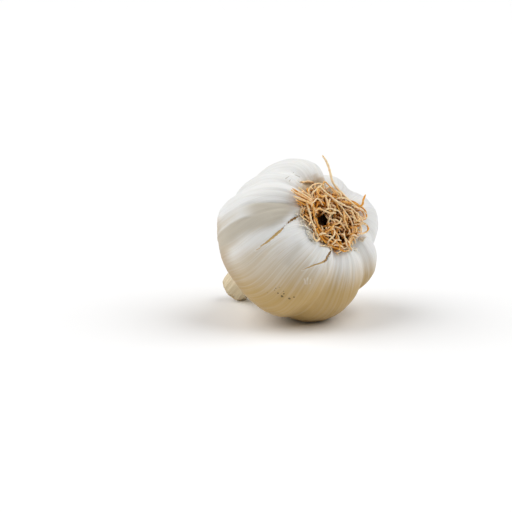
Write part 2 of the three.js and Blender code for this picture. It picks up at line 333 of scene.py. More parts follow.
def open_splits(plain, relief):
    """Sinks the splits into the relief and lifts the skin beside them. It gives how far each point is from
    the nearest edge, how far along that split it is, and the shift that puts it on the edge."""
    split_edge = np.full(len(plain), 2.0)
    split_share = np.zeros(len(plain))
    lip = np.zeros(len(plain))
    shift = np.zeros_like(plain)
    for line, widths in SPLITS:
        distance, share, nearest = near_line(plain, on_skin(line), 90)
        half = np.interp(share, np.linspace(0, 1, len(widths)), widths)
        ragged = 0.12 * np.sin(share * 83) + 0.10 * np.sin(share * 139 + 1) + 0.07 * np.sin(share * 211 + 2)
        onward = smooth_step(share, 0.35, 0.2)
        half = half * (1 + ragged * 1.5 * (1 - onward))
        edge = distance - half
        within = edge < 0
        deep = SPLIT_DEPTHS[0] + (SPLIT_DEPTHS[1] - SPLIT_DEPTHS[0]) * onward
        relief[within] -= (deep * smooth_step(-edge, 0.0, 0.12))[within]
        split_share = np.where(edge < split_edge, share, split_share)
        split_edge = np.minimum(edge, split_edge)
        near = np.abs(edge) < 0.14
        away = (plain - nearest) / np.maximum(distance, 1e-6)[:, None]
        shift[near] -= away[near] * edge[near][:, None]
        lip = np.maximum(lip, np.exp(-np.clip(edge, 0, None) / LIP_WIDTH) * (half > 0.08) * ~within)
    relief += LIP_HEIGHT * lip
    return split_edge, split_share, shift


def skin_surface():
    """Points of the skin with all its relief, and what each point needs for its colour."""
    around = np.arange(SKIN_ROUND) * 360 / SKIN_ROUND
    bearing, along = [grid.ravel() for grid in np.meshgrid(around, closer_rows(SKIN_ALONG))]
    plain = skin_form(bearing, along)
    winding = bearing + 1.6 * np.sin(along * 17 + 0.8) + 1.0 * np.sin(along * 31 + 2.0)
    relief = fine_relief(bearing, along, winding, plain)
    crease_shade = press_creases(plain, relief)
    past_fold = bearing - np.interp(along, FOLD_SHARES, FOLD_BEARINGS)
    folded = window(along, 0.31, 0.05, 0.46, 0.08)
    above_fold = smooth_step(past_fold, -0.6, 1.3) * folded
    relief += FOLD_HEIGHT * above_fold * np.exp(-np.clip(past_fold, 0, None) / 5)
    split_edge, split_share, shift = open_splits(plain, relief)
    points = skin_form(bearing, along, 0.0, relief) + shift

    # painted shade in the sunk hollow below the crease, less of it past the fold
    lower = np.interp(along, SUNK_SHARES, SUNK_LOWER)
    upper = np.interp(along, SUNK_SHARES, SUNK_UPPER)
    sunk_shade = smooth_step(bearing - lower, -3.0, 8.0) * (1 - smooth_step(bearing - upper, -0.8, 1.4))
    sunk_shade *= window(along, 0.19, 0.06, 0.42, 0.16) * (1 - 0.65 * above_fold)
    # pale: a painted highlight along that crest and along the fold's lip
    pale = np.exp(-(((bearing - PALE_STREAK) / 4) ** 2)) * window(along, 0.24, 0.06, 0.40, 0.08)
    pale = np.maximum(pale, np.exp(-(((past_fold - 1.5) / 1.1) ** 2)) * folded)
    turn = np.radians(winding)
    grain = np.stack([GRAIN_RADIUS * np.cos(turn), GRAIN_RADIUS * np.sin(turn), along * GRAIN_LENGTH], -1)
    masks = {
        "grain": grain, "split_edge": split_edge, "split_share": split_share, "crease_shade": crease_shade,
        "along": along, "sunk_shade": sunk_shade, "pale": pale,
        "browned_and_shaded": along / np.interp(bearing, BROWNED_BEARINGS, BROWNED_SHARES, period=360),
    }
    keep = slice(SKIN_ROUND - 1, len(points) - SKIN_ROUND + 1)
    return points[keep], {name: mask[keep] for name, mask in masks.items()}


class Wire:
    """One output in a material. Arithmetic on it adds Math nodes."""

    def __init__(self, tree, socket=None):
        self.tree = tree
        self.socket = socket

    def add(self, kind, settings=None, inputs=None, output=0):
        """A new node: its settings first, then the values or wires of its sockets. Gives one output."""
        node = self.tree.nodes.new(kind)
        for name, value in (settings or {}).items():
            setattr(node, name, value)
        for name, value in (inputs or {}).items():
            if isinstance(value, Wire):
                self.tree.links.new(value.socket, node.inputs[name])
            else:
                node.inputs[name].default_value = value
        return Wire(self.tree, node.outputs[output])

    def maths(self, operation, *values):
        return self.add("ShaderNodeMath", {"operation": operation}, dict(enumerate(values)))

    def __add__(self, other):
        return self.maths("ADD", self, other)

    __radd__ = __add__

    def __sub__(self, other):
        return self.maths("SUBTRACT", self, other)

    def __rsub__(self, other):
        return self.maths("SUBTRACT", other, self)

    def __mul__(self, other):
        return self.maths("MULTIPLY", self, other)

    __rmul__ = __mul__

    def __truediv__(self, other):
        return self.maths("DIVIDE", self, other)

    def ramp(self, low, high):
        """0 where this is below low, 1 above high, and smooth between."""
        inputs = {0: self, 1: low, 2: high, 3: 0.0, 4: 1.0}
        return self.add("ShaderNodeMapRange", {"interpolation_type": "SMOOTHSTEP"}, inputs)

    def tint(self, below, above):
        """A colour that goes from one to another as this goes from 0 to 1."""
        return self.add("ShaderNodeMix", {"data_type": "RGBA"}, {0: self, 6: below, 7: above}, 2)

    def value(self, name):
        """A named value on the mesh's points."""
        return self.add("ShaderNodeAttribute", {"attribute_name": name}, output=2)

    def vector(self, name):
        return self.add("ShaderNodeAttribute", {"attribute_name": name}, output=1)

    def place(self):
        """The point of the surface that is shaded, in metres."""
        return self.add("ShaderNodeNewGeometry")

    def bump(self, strength, distance, height):
        return self.add("ShaderNodeBump", {}, {"Strength": strength, "Distance": distance, "Height": height})

    def noise(self, where, scale, detail, roughness):
        inputs = {"Vector": where, "Scale": scale, "Detail": detail, "Roughness": roughness}
        return self.add("ShaderNodeTexNoise", {}, inputs)

    def vectors(self, operation, first, second, output=0):
        """Vector maths. The second output is the number that some operations give."""
        return self.add("ShaderNodeVectorMath", {"operation": operation}, {0: first, 1: second}, output)

    def near_stretch(self, where, begin, end):
        """Distance of a place from a straight stretch between two others."""
        way = end - begin
        tangent = tuple(way / (way @ way))
        onward = self.vectors("SUBTRACT", where, tuple(begin))
        share = self.vectors("DOT_PRODUCT", onward, tangent, 1)
        share = self.add("ShaderNodeMath", {"operation": "ADD", "use_clamp": True}, {0: share, 1: 0.0})
        onto = self.add("ShaderNodeVectorMath", {"operation": "SCALE"}, {0: tuple(way), "Scale": share})
        return self.vectors("DISTANCE", onward, onto, 1)

    def along_way(self, where, way):
        """How far a place lies one way from the bulb's middle, in millimetres."""
        return self.vectors("DOT_PRODUCT", where, way, 1) * 1000 - float(MIDDLE @ way)

    def stretched(self, where, by):
        """A vector scaled along each of its axes."""
        return self.vectors("MULTIPLY", where, by)


def new_material(name, **constants):
    """A material with its fixed values set on its shader, and a wire to build the rest with."""
    material = bpy.data.materials.new(name)
    material.use_nodes = True
    shader = material.node_tree.nodes["Principled BSDF"]
    for socket, value in constants.items():
        shader.inputs[socket.replace("_", " ")].default_value = value
    return material, shader, Wire(material.node_tree)


def plug(wire, shader, socket):
    wire.tree.links.new(wire.socket, shader.inputs[socket])


PAPER_WHITE = (0.87, 0.87, 0.855, 1)
PAPER_GREY = (0.76, 0.76, 0.735, 1)
PAPER_WARM_SHADE = (0.62, 0.525, 0.385, 1)
PAPER_STAIN_AND_SHADE = (0.52, 0.345, 0.12, 1)
PAPER_REFLECTED_BROWN = (0.38, 0.235, 0.10, 1)
PAPER_SHADE = (0.52, 0.47, 0.38, 1)
PAPER_TAN = (0.60, 0.45, 0.25, 1)
PAPER_CREAM = (0.86, 0.755, 0.54, 1)
COLLAR_TAN = (0.50, 0.34, 0.15, 1)
SPLIT_TAN = (0.62, 0.42, 0.17, 1)
SPLIT_DARK = (0.30, 0.15, 0.035, 1)
WRINKLE_SHADE = (0.40, 0.37, 0.31, 1)
UP = (0.0, 0.0, 1.0)  # painted shade: the skin is white above, and warmer and darker below, for painted shade and warm bounce light, and lowest down more golden, partly a real stain
LIT_SIDE = (0.73, 0.68, 0.0)  # it stays white farther down on this side, where the lights fall, and the other side gets more painted shade
DIRT = (0.10, 0.075, 0.035, 1)
# dark specks, most of them on the belly: bearing, share of the outline, radius in millimetres
SPECKS = [
    (237.0, 0.370, 0.22), (236.0, 0.361, 0.26), (234.0, 0.359, 0.18), (232.0, 0.361, 0.24),
    (230.5, 0.366, 0.34), (230.0, 0.375, 0.50), (233.5, 0.376, 0.30), (236.5, 0.376, 0.20),
    (225.5, 0.3675, 0.46), (224.0, 0.356, 0.36), (212.5, 0.418, 0.28), (206.5, 0.433, 0.26),
    (205.5, 0.3435, 0.16), (238.0, 0.398, 0.16), (28.0, 0.30, 0.25), (96.0, 0.35, 0.3),
    (60.0, 0.41, 0.3), (150.0, 0.33, 0.22), (332.0, 0.47, 0.2),
]


def skin_material():
    material, shader, start = new_material(
        "papery_skin", Roughness=0.5, Specular_IOR_Level=0.32, Subsurface_Weight=0.12,
        Subsurface_Radius=(1.0, 0.75, 0.5), Subsurface_Scale=0.0015, Sheen_Weight=0.06, Sheen_Roughness=0.4)
    grain = start.vector("grain")
    position = start.place()

    fine = start.noise(start.stretched(grain, (1, 1, 0.03)), 2.9, 3.0, 0.6)
    broad = start.noise(start.stretched(grain, (1, 1, 0.10)), 0.42, 3.0, 0.55)
    patch = start.noise(start.stretched(grain, (1, 1, 0.6)), 0.09, 2.0, 0.5)
    vein = start.noise(start.stretched(grain, (1, 1, 0.02)), 1.1, 1.0, 0.4)
    veins = (1 - start.maths("ABSOLUTE", vein - 0.5).ramp(0.0, 0.028)) * broad.ramp(0.42, 0.62)

    streak = start.noise(start.stretched(grain, (1, 1, 0.02)), 0.95, 4.0, 0.62)
    uneven = (patch - 0.5) * 10 + (streak - 0.5) * 6 + (fine - 0.5) * 6
    high = start.along_way(position, UP)
    aside = start.along_way(position, LIT_SIDE)
    colour = (fine.ramp(0.30, 0.66) * 0.6 + streak.ramp(0.34, 0.62) * 0.4).tint(PAPER_GREY, PAPER_WHITE)
    # painted shade and warm bounce light: darker and warmer lower down and on the side away from the lights
    warm_shade = 1 - (high + aside * 0.25 + start.maths("MAXIMUM", aside, 0.0) * 0.4 + uneven).ramp(-6.0, 9.0)
    colour = (warm_shade * (0.62 + 0.22 * streak.ramp(0.62, 0.40) + 0.12 * fine)).tint(colour, PAPER_WARM_SHADE)
    # painted highlight: the pale crest and the fold's lip are whitened
    colour = (start.value("pale") * 0.7).tint(colour, PAPER_WHITE)
    # painted reflection and painted shade: the low edge away from the lights turns brown, as if facing brown
    # skin beside it
    reflected_side = 1 - (aside + high * 0.4 + uneven * 0.15).ramp(-33.0, -24.0)
    # the underside darker and golden: painted shade and warm bounce light, with some real yellow staining
    stain_and_shade = 1 - (high + uneven * 0.6).ramp(-17.5, -1.5)
    colour = (stain_and_shade * (0.84 + 0.14 * streak.ramp(0.62, 0.40))).tint(colour, PAPER_STAIN_AND_SHADE)
    colour = (reflected_side * 0.7).tint(colour, PAPER_REFLECTED_BROWN)
    # painted shade in the sunk hollow
    colour = (start.value("sunk_shade") * 0.9).tint(colour, PAPER_SHADE)
    colour = (veins * (0.16 + 0.34 * warm_shade)).tint(colour, PAPER_TAN)
    # painted shade in the creases
    colour = start.value("crease_shade").tint(colour, PAPER_SHADE)
    along = start.value("along")
    # real browning and painted warm shade under the roots and flakes
    scuffs = start.noise(position, 420.0, 3.0, 0.6)
    browned_and_shaded = 1 - (start.value("browned_and_shaded") + (scuffs - 0.5) * 0.3).ramp(0.84, 1.04)
    colour = (browned_and_shaded * (0.50 + 0.5 * scuffs)).tint(colour, COLLAR_TAN)
    neck = along.ramp(0.68, 0.93) * (0.10 + 0.90 * streak.ramp(0.42, 0.62))
    colour = (along.ramp(0.60, 0.78) * 0.85).tint(colour, PAPER_CREAM)
    colour = (neck * 0.5).tint(colour, PAPER_TAN)

    # Inside the splits: tan, and darker where torn through, partly the brown inner skin and partly painted
    # shade in the gap. Along their edges a white rim: torn white fibres, with a painted highlight on the
    # lifted lip.
    torn = 1 - start.value("split_share").ramp(0.38, 0.56)
    crumbs = start.noise(position, 1700.0, 2.0, 0.7)
    edge = start.value("split_edge") + (crumbs - 0.5) * (0.12 + 1.0 * torn)
    depths = (start.noise(position, 800.0, 2.0, 0.6) + torn * 0.24 - 0.10).ramp(0.52, 0.66)
    colour = (1 - edge.ramp(-0.10, 0.10)).tint(colour, depths.tint(SPLIT_TAN, SPLIT_DARK))
    colour = ((1 - edge.ramp(-0.1, 0.5)) * edge.ramp(-0.1, 0.1) * 0.5).tint(colour, PAPER_WHITE)

    ragged = start.noise(position, 1500.0, 2.0, 0.6)
    pressed = 0
    for begin, end, half in WRINKLES:
        ends = laid(on_skin([begin, end]))
        away = start.near_stretch(position, *ends) * (1000 / half) + (ragged - 0.5) * 0.6
        line = 1 - away.ramp(0.4, 1.3)
        # painted highlight beside the wrinkle, and painted shade along it
        colour = ((1 - away.ramp(1.6, 3.0)) * away.ramp(0.8, 1.5) * 0.45).tint(colour, PAPER_WHITE)
        colour = (line * 0.55).tint(colour, WRINKLE_SHADE)
        pressed = line + pressed
    for bearing, share, radius in SPECKS:
        spot = tuple(laid(on_skin([(bearing, share)]))[0])
        away = start.vectors("DISTANCE", position, spot, 1)
        speck = 1 - (away * 1000 / radius + (ragged - 0.5) * 1.6).ramp(0.7, 1.3)
        colour = (speck * 0.85).tint(colour, DIRT)
    plug(colour, shader, "Base Color")

    plug(0.44 + 0.16 * fine + 0.1 * patch, shader, "Roughness")
    height = fine * 0.6 + veins * 0.3 + 0.6 * streak + 0.3 * broad - pressed
    plug(start.bump(0.4, 0.0002, height), shader, "Normal")
    return material


paper = skin_material()
skin_points, skin_masks = skin_surface()
skin_faces = closed_grid(SKIN_ALONG, SKIN_ROUND)
skin = mesh_piece("papery_skin", laid_above(skin_points), skin_faces, paper, skin_masks)
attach(skin, "root")
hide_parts("bulb")

# The cut neck
# The dried bases of the leaves, one rolled inside the other, cut across with a knife a little above the
# cloves. Each is a closed tube of thin, stiff leaf with a ragged, browned rim, and they all grew together.
NECK_SHEETS = [  # radius, wall, height of the rim, how flat, which way, and how far aside
    (5.95, 0.34, 43.9, 0.00, 0, 0.00), (5.20, 0.30, 43.5, 0.04, 40, 0.10),
    (4.45, 0.32, 43.8, 0.07, 65, 0.15), (3.70, 0.28, 43.2, 0.12, 50, 0.20),
    (2.90, 0.34, 43.5, 0.20, 80, 0.20), (2.05, 0.30, 43.0, 0.30, 70, 0.25),
    (1.20, 0.40, 43.3, 0.45, 60, 0.25),
]
NECK_SHEETS_FROM = 40.0  # height of their lower ends, inside the skin
NECK_CUT_SLANT = 0.045  # millimetres of height to each millimetre across
NECK_SHEET_ROUND = 150
NECK_SHEET_STEPS = 7


def neck_sheets():
    """Points and faces of the rolled leaf bases, and how near each point is to its rim."""
    draw = np.random.default_rng(61)
    points, faces, rims = [], [], []
    bearing = np.arange(NECK_SHEET_ROUND) * 360 / NECK_SHEET_ROUND
    angle = np.radians(bearing)
    for number, (radius, wall, rim, flat, way, aside) in enumerate(NECK_SHEETS):
        crumpled = wavy(bearing, 3, 16, seed=70 + number) * 0.10
        flattened = radius * (1 - flat * np.cos(2 * (angle - math.radians(way))))
        middle = flattened + neck_pleats(bearing, 0.9) * radius / 7 + crumpled
        ragged = wavy(bearing, 2, 9, seed=80 + number) * 0.16
        ragged += wavy(bearing, 14, 60, seed=90 + number) * 0.09
        high = rim + ragged + NECK_CUT_SLANT * radius * np.cos(angle)
        thick = wall * (1 + 0.25 * wavy(bearing, 4, 20, seed=100 + number))
        centre = polar(aside, draw.uniform(0, 360), 0)
        section = [(0.5, share) for share in np.linspace(0, 1, NECK_SHEET_STEPS)]
        section += [(-0.5, share) for share in np.linspace(1, 0, NECK_SHEET_STEPS)]
        first = sum(len(some) for some in points)
        for side, share in section:
            out = middle + side * thick * (1 - 0.3 * share) + 0.12 * share ** 3
            height = NECK_SHEETS_FROM + (high - NECK_SHEETS_FROM) * share
            x = out * np.cos(angle) + centre[0] - neck_lean(height)
            y = out * np.sin(angle) + centre[1]
            points.append(np.stack([x, y, height], -1))
            rims.append(np.full(NECK_SHEET_ROUND, share))
        faces += bands(first, len(section), NECK_SHEET_ROUND, closed=True)
    return np.concatenate(points), faces, np.concatenate(rims)


def neck_material():
    material, shader, start = new_material("leaf_bases", Roughness=0.6, Specular_IOR_Level=0.3)
    mottle = start.noise(start.place(), 700.0, 3.0, 0.6)
    rim = (start.value("rim") + (mottle - 0.5) * 0.12).ramp(0.80, 1.0)
    colour = mottle.ramp(0.35, 0.65).tint(PAPER_TAN, PAPER_CREAM)
    colour = (rim * (0.35 + 0.65 * mottle.ramp(0.40, 0.60))).tint(colour, COLLAR_TAN)
    plug(colour, shader, "Base Color")
    plug(start.bump(0.4, 0.0002, mottle), shader, "Normal")
    return material


sheet_points, sheet_faces, sheet_rims = neck_sheets()
sheets = laid_above(sheet_points)
cut_neck = mesh_piece("cut_neck", sheets, sheet_faces, neck_material(), {"rim": sheet_rims})
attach(cut_neck, "root")
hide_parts("bulb")

# The root plate
# The corky disc in the hollow of the root end, all that is left of the stem. It is rough and painted nearly
# black, and a low dark mat stands round its rim under the roots: both are painted shade for the dark gaps of
# the nest.
PLATE_FACE = -17.6
# radius and height, from the middle of the face, over the mat, to the middle of the back
PLATE_PROFILE = [
    (0, -17.5), (2.2, -17.6), (3.6, -18.3), (5.2, -19.7), (7.0, -20.5), (8.8, -20.7), (10.4, -20.4),
    (11.0, -19.4), (9.4, -17.6), (7.2, -16.4), (6.6, -15.6), (3.5, -15.5), (0, -15.5),
]
PLATE_ROUND = 120
PLATE_RINGS = 46
# the plate's near black is painted shade
PLATE_SHADE_BLACK = (0.010, 0.005, 0.002, 1)
PLATE_BROWN = (0.085, 0.038, 0.012, 1)


def plate_surface():
    """Points of the plate with its mat. Its face is crumbly."""
    at = catmull(PLATE_PROFILE, np.linspace(0, 1, PLATE_RINGS))
    bearing = np.arange(PLATE_ROUND) * 360 / PLATE_ROUND
    angle, radius = np.meshgrid(np.radians(bearing), np.maximum(at[:, 0], 0))
    height = np.repeat(at[:, 1:2], PLATE_ROUND, axis=1)
    points = np.stack([radius * np.cos(angle), radius * np.sin(angle), height], -1).reshape(-1, 3)
    face = 1 - smooth_step(points[:, 2], PLATE_FACE + 0.3, 1.0)
    points[:, 2] -= face * (0.45 * lumpy(points, 2.6, seed=21) + 0.3 * lumpy(points, 1.1, seed=22))
    return points[PLATE_ROUND - 1:len(points) - PLATE_ROUND + 1]


def plate_material():
    material, shader, start = new_material("root_plate", Roughness=0.9, Specular_IOR_Level=0.2)
    crumbs = start.noise(start.place(), 900.0, 4.0, 0.65)
    plug(crumbs.ramp(0.35, 0.7).tint(PLATE_SHADE_BLACK, PLATE_BROWN), shader, "Base Color")
    plug(start.bump(0.6, 0.0004, crumbs), shader, "Normal")
    return material


plate_faces = closed_grid(PLATE_RINGS, PLATE_ROUND)
plate = mesh_piece("root_plate", laid(plate_surface()), plate_faces, plate_material())
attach(plate, "root")
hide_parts("root_tuft")

# The roots
# A few hundred dried roots, brittle and about as thick as string. They leave the plate on all sides, turn
# outwards over the ends of the cloves, and are tangled into a nest with a dark hollow in the middle.
FILLED_HEIGHT = 7.8  # of the nest over the plate's face
PLATE_EDGE = 6.6
HOLLOW_FOOT = np.array([1.2, -0.6, 0.0])  # the hollow's axis starts here on the plate
HOLLOW_WAY = np.array([-0.19, -0.70, 0.69])  # and leans this way
HOLLOW_RADIUS = 3.7
ROOT_SIDES = 6
STEP = 0.62  # between two points of a root
FLOOR_REACH = 30  # millimetres from the axis
FLOOR_TURN = 3.0  # degrees
NEST_CELLS = 64  # a millimetre wide, across the nest
# how far the nest spreads from the axis, at some bearings
REACH_BEARINGS = [15, 57, 84, 103, 139, 176, 199, 232, 253, 277, 296, 318, 331, 353]
NEST_REACH = [11.2, 9.6, 12.2, 14.0, 12.2, 14.4, 15.6, 16.0, 16.4, 16.2, 16.0, 15.4, 14.6, 12.8]


def root_end_floor():
    """Height of the skin above the plate's face, at each millimetre from the axis and each bearing."""
    bearings = np.arange(0, 360, FLOOR_TURN)
    floor = np.zeros((FLOOR_REACH, len(bearings)))
    shares = np.linspace(0.02, 0.36, 240)
    for j, bearing in enumerate(bearings):
        points = skin_form(np.full(len(shares), bearing), shares)
        radii = np.hypot(points[:, 0], points[:, 1])
        order = np.argsort(radii)
        floor[:, j] = PLATE_FACE - np.interp(np.arange(FLOOR_REACH), radii[order], points[order, 2])
    return floor


FLOOR = root_end_floor()


def from_axis(point):
    """Distance of a point from the axis, and its bearing."""
    x, y = point[:2]
    return math.hypot(x, y), math.degrees(math.atan2(y, x)) % 360


def floor_at(point):
    """Height of the skin above the plate's face under a point of the nest."""
    distance, bearing = from_axis(point)
    turn = int(round(bearing / FLOOR_TURN)) % FLOOR.shape[1]
    return FLOOR[min(int(round(distance)), FLOOR_REACH - 1), turn]


def reach_at(point):
    """How far the nest spreads on the bearing of a point."""
    return float(np.interp(from_axis(point)[1], REACH_BEARINGS, NEST_REACH, period=360))


def ceiling(point):
    """The nest's upper side: low in the middle, highest over the cloves' ends, and lower at the rim."""
    distance, _ = from_axis(point)
    rise = 0.45 + 0.55 * smooth_step(distance, 2.0, 5.0)
    fall = 1 - 0.30 * smooth_step(distance / reach_at(point), 0.7, 0.4)
    lean = 1 - 0.13 * (-0.34 * point[0] - 0.94 * point[1]) / max(distance, 1.0)
    return FILLED_HEIGHT * rise * fall * lean


def clear_of_hollow(point, room):
    """A point moved sideways out of the hollow, if it is in it."""
    from_foot = point - HOLLOW_FOOT
    aside = from_foot - (from_foot @ HOLLOW_WAY) * HOLLOW_WAY
    distance = np.linalg.norm(aside)
    if point[2] < 0.2 or distance > room:
        return point
    return point + aside / max(distance, 0.1) * (room - distance) * 0.8


def wander(draw, start, way, steps, sway, reach_share, heavy=0.0):
    """A root's line. It keeps its way, bends, and is held between the cloves and the nest's upper side."""
    points = [np.array(start, float)]
    way = np.array(way, float)
    bend = draw.normal(size=3) * sway
    room = HOLLOW_RADIUS * draw.uniform(0.35, 1.35)
    for _ in range(steps):
        here = points[-1]
        bend = 0.86 * bend + 0.34 * sway * draw.normal(size=3)
        way = way + bend - np.array([0, 0, heavy])
        distance, _ = from_axis(here)
        low = floor_at(here) + 0.4
        if here[2] < low + 0.6:
            way[2] += 0.35
        if here[2] > ceiling(here):
            way[2] -= 0.45
        if distance > reach_at(here) * reach_share:
            way[:2] -= 0.35 * here[:2] / distance
        way /= np.linalg.norm(way)
        after = clear_of_hollow(here + way * STEP, room)
        if from_axis(after)[0] > PLATE_EDGE:
            after[2] = max(after[2], floor_at(after) + 0.4)
        points.append(after)
    return np.array(points)


def in_nest(line):
    """A root's line up to where it would hang out of the nest."""
    out = [i for i, point in enumerate(line) if from_axis(point)[0] > 1.1 * reach_at(point)]
    return line[:max(out[0], 5)] if out else line


RISERS = 130
TANGLED = 170
STUBS = 34
RIM_ROOTS = 5


def nest_lines():
    """Lines of all tangled roots, with each one's thickness."""
    draw = np.random.default_rng(17)
    lines = []
    for _ in range(RISERS):  # from the plate, up and out, and over
        angle = draw.uniform(0, 360)
        start = polar(1.6 + 4.8 * math.sqrt(draw.uniform()), angle, -0.6)
        outward = polar(1, angle, 0)
        aside = polar(1, angle + 90, 0)
        aim = outward * draw.uniform(0.2, 1.3) + aside * draw.normal() * 0.7 + np.array([0, 0, 1.0])
        line = wander(draw, start, aim, int(draw.uniform(14, 30)), 0.24, draw.uniform(0.55, 1.0))
        lines.append((line, draw.uniform(0.26, 0.42)))
    for _ in range(TANGLED):  # older broken pieces, caught between the others
        angle = draw.uniform(0, 360)
        way = polar(1, angle, 0)
        distance = 3.4 + (reach_at(way) - 3.8) * draw.uniform() ** 0.75
        spot = polar(distance, angle, 0)
        low = max(floor_at(spot), 1.0) + 0.5
        spot[2] = low + (ceiling(spot) - low) * draw.uniform(0.1, 1.0)
        spot = clear_of_hollow(spot, HOLLOW_RADIUS * 1.15)
        aim = draw.normal(size=3) * (1, 1, 0.35)
        aim /= np.linalg.norm(aim)
        line = in_nest(wander(draw, spot, aim, int(draw.uniform(7, 19)), 0.34, 1.0, 0.02))
        lines.append((line, draw.uniform(0.24, 0.40)))
    for k in range(STUBS):  # short ones that broke off square and point up out of the nest
        angle = draw.uniform(120, 330) if k % 4 else draw.uniform(0, 360)
        spot = polar(draw.uniform(3.4, 10.5), angle, 0)
        low = max(floor_at(spot), 0.5)
        spot[2] = low + (ceiling(spot) - low) * draw.uniform(0.25, 0.75)
        spot = clear_of_hollow(spot, HOLLOW_RADIUS * 1.15)
        aim = polar(draw.uniform(0.2, 1.0), angle + draw.normal() * 50, 1.0)
        line = wander(draw, spot, aim / np.linalg.norm(aim), int(draw.uniform(4, 8)), 0.12, 1.0)
        lines.append((line, draw.uniform(0.32, 0.44)))
    for _ in range(RIM_ROOTS):  # long ones that lie along the nest's lower rim
        begin, end = 262 + draw.uniform(-26, 22), 150 + draw.uniform(-18, 30)
        bearings = np.linspace(begin, end, 22)
        spread = np.interp(bearings, REACH_BEARINGS, NEST_REACH)
        radii = spread * draw.uniform(0.76, 0.9) + draw.normal(size=22).cumsum() * 0.13
        radii *= 0.62 + 0.38 * np.sin(np.linspace(0.35, 2.6, 22)) ** 0.7
        line = np.array([polar(r, b, 0) for r, b in zip(radii, bearings)])
        floor = np.array([floor_at(point) for point in line])
        line[:, 2] = floor + 0.5 + draw.uniform(0, 1.6)
        line[:, 2] += 0.5 * np.sin(np.linspace(0, 3, 22) * draw.uniform(1, 3))
        lines.append((line, draw.uniform(0.30, 0.42)))
    return lines


# long roots that lie on top of the nest: distance from the axis, bearing and height above the plate's face
LAID_ROOTS = [
    [(7.7, 356, 8.6), (5.2, 5, 8.6), (3.5, 48, 8.4), (3.6, 97, 8.2), (5.9, 125, 8.0), (8.2, 139, 7.4),
     (10.2, 156, 6.8), (12.2, 171, 6.2), (14.0, 184, 5.8), (14.6, 197, 5.6), (14.6, 211, 5.6),
     (14.4, 225, 5.6), (14.2, 238, 5.8), (13.7, 249, 6.0)],
    [(3.2, 94, 7.8), (3.9, 147, 7.6), (6.6, 159, 7.2), (9.1, 160, 6.8), (11.2, 172, 6.2), (11.7, 184, 5.8),
     (11.9, 195, 5.4)],
    [(13.3, 253, 6.0), (13.7, 241, 5.6), (14.2, 230, 5.4), (14.2, 218, 5.2), (14.2, 206, 5.2),
     (14.9, 193, 5.4), (14.7, 183, 5.6)],
    [(7.5, 100, 8.0), (8.8, 112, 8.0), (9.7, 124, 7.6), (9.6, 143, 7.2), (10.9, 157, 6.8), (12.1, 168, 6.2),
     (13.8, 177, 5.8)],
    [(4.6, 27, 8.8), (5.4, 67, 8.8), (7.9, 86, 8.6), (10.4, 102, 8.4), (12.9, 109, 8.2), (15.2, 105, 8.2),
     (14.8, 99, 8.4), (12.0, 92, 8.6), (8.8, 80, 8.8)],
    [(7.5, 107, 8.0), (9.4, 117, 8.0), (12.1, 119, 7.8), (14.6, 120, 7.6), (15.8, 123, 7.4),
     (15.2, 130, 7.2), (13.3, 139, 7.0), (11.3, 145, 6.8)],
    [(6.1, 51, 8.4), (7.9, 69, 8.4), (11.1, 81, 8.4), (14.6, 92, 8.4)],
    [(6.4, 30, 8.6), (8.2, 52, 8.6), (9.3, 71, 8.4), (10.9, 87, 8.2), (13.3, 94, 8.2)],
    [(13.4, 0, 8.4), (11.1, 8, 8.6), (9.6, 16, 8.8), (7.7, 28, 9.0), (7.0, 47, 9.0)],
    [(12.8, 340, 8.2), (9.9, 345, 8.6), (7.4, 353, 8.8), (4.9, 12, 9.0), (5.0, 65, 8.8)],
    [(5.2, 9, 8.2), (3.1, 27, 8.0), (1.7, 89, 7.8), (4.4, 143, 7.2), (6.6, 156, 6.8)],
    [(14.4, 300, 7.6), (14.4, 290, 7.4), (13.9, 279, 7.2), (13.8, 269, 6.8), (13.6, 258, 6.4),
     (14.4, 248, 6.0)],
    [(12.0, 299, 7.6), (12.0, 289, 7.4), (11.9, 277, 7.0), (11.6, 265, 6.4), (11.3, 250, 5.8),
     (10.9, 236, 5.2)],
    [(12.9, 304, 7.8), (11.6, 286, 7.6), (9.1, 290, 7.8), (6.6, 286, 7.8), (4.2, 275, 7.8),
     (1.2, 277, 7.6)],
    [(13.3, 294, 8.2), (12.0, 302, 8.4), (10.8, 311, 8.6), (9.1, 308, 8.4), (7.5, 302, 8.2)],
    [(14.3, 315, 7.8), (15.1, 321, 8.2), (14.7, 332, 8.4), (13.6, 345, 8.4), (12.2, 355, 8.2),
     (10.3, 353, 8.0)],
    [(13.2, 317, 8.0), (12.8, 330, 8.4), (12.7, 350, 8.6)],
    [(12.3, 337, 8.2), (11.7, 326, 8.4), (9.3, 326, 8.4), (7.9, 346, 8.4)],
    [(5.7, 294, 8.0), (3.8, 308, 8.2), (1.7, 314, 8.2), (0.8, 83, 8.0), (3.3, 134, 7.6)],
    [(4.9, 172, 6.2), (5.8, 199, 6.0), (8.8, 205, 5.6), (12.3, 208, 5.2)],
    [(3.0, 225, 6.6), (3.0, 184, 6.8), (5.3, 168, 6.8), (7.7, 164, 6.6)],
    [(4.3, 231, 5.8), (5.5, 212, 5.8), (7.5, 212, 5.4)],
    [(8.5, 250, 4.6), (9.3, 241, 4.8), (7.9, 228, 5.2)],
    [(8.8, 340, 8.2), (6.1, 330, 8.0), (4.5, 306, 7.4)],
    [(6.4, 352, 8.2), (5.3, 331, 8.0), (3.5, 325, 7.6)],
]
